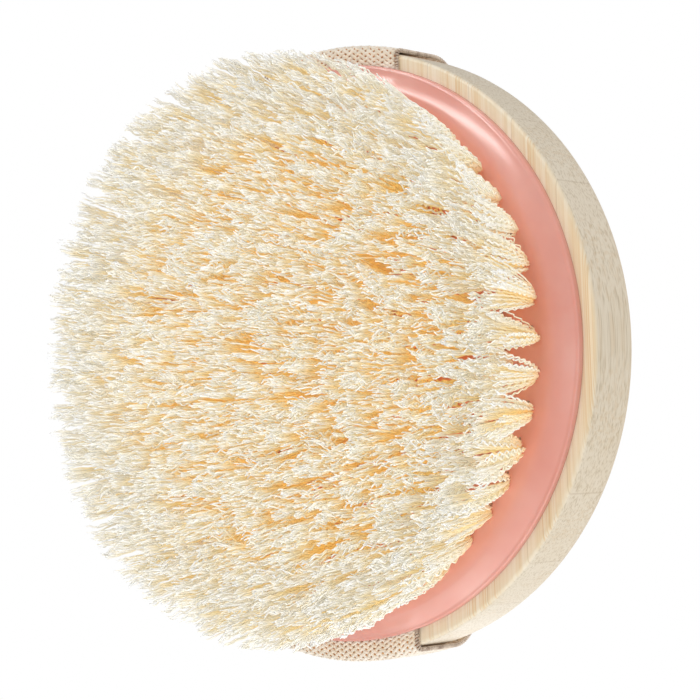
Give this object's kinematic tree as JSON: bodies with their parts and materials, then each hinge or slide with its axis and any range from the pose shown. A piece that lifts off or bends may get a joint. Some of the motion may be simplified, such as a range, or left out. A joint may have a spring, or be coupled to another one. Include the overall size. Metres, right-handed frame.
{
  "type": "body dry brush",
  "caption": "Round wooden body brush with plant-fibre tufts in rings on a domed rubber air cushion, and a webbing hand strap arched over its back.",
  "frame": {"origin": "centre of the circle of bristle tips, on the plane that the tips stand on", "axes": "+Z is the disc's axis, from the bristle tips up through the back of the wood to the strap; +Y is along the strap; +X is across the strap"},
  "size_m": [0.126, 0.1288, 0.0735],
  "materials": {
    "wood": "satin",
    "webbing": "matte",
    "staple_steel": "satin",
    "cushion_rubber": "satin",
    "backing_canvas": "matte",
    "bristle_fibre": "matte",
    "anchor_wire": "satin"
  },
  "bodies": {
    "base": {"wood_base": "wood", "hand_strap": "webbing", "strap_staples_a": "staple_steel", "strap_staples_b": "staple_steel"},
    "bristle_pad": {"cushion": "cushion_rubber", "backing_cloth": "backing_canvas", "tufts_ring_1": "bristle_fibre", "tufts_ring_2": "bristle_fibre", "tufts_ring_3": "bristle_fibre", "tufts_ring_4": "bristle_fibre", "tufts_ring_5": "bristle_fibre", "tufts_ring_6": "bristle_fibre", "tufts_ring_7": "bristle_fibre", "tufts_ring_8": "bristle_fibre", "anchors_ring_1": "anchor_wire", "anchors_ring_2": "anchor_wire", "anchors_ring_3": "anchor_wire", "anchors_ring_4": "anchor_wire", "anchors_ring_5": "anchor_wire", "anchors_ring_6": "anchor_wire", "anchors_ring_7": "anchor_wire", "anchors_ring_8": "anchor_wire"}
  },
  "joints": [
    {"name": "cushion_press", "type": "slide", "parent": "base", "child": "bristle_pad", "axis": [0, 0, 1], "range_m": [0, 0.003], "stiffness_N_per_m": 4000, "springref_m": -0.0005, "deforming": ["cushion"]}
  ]
}
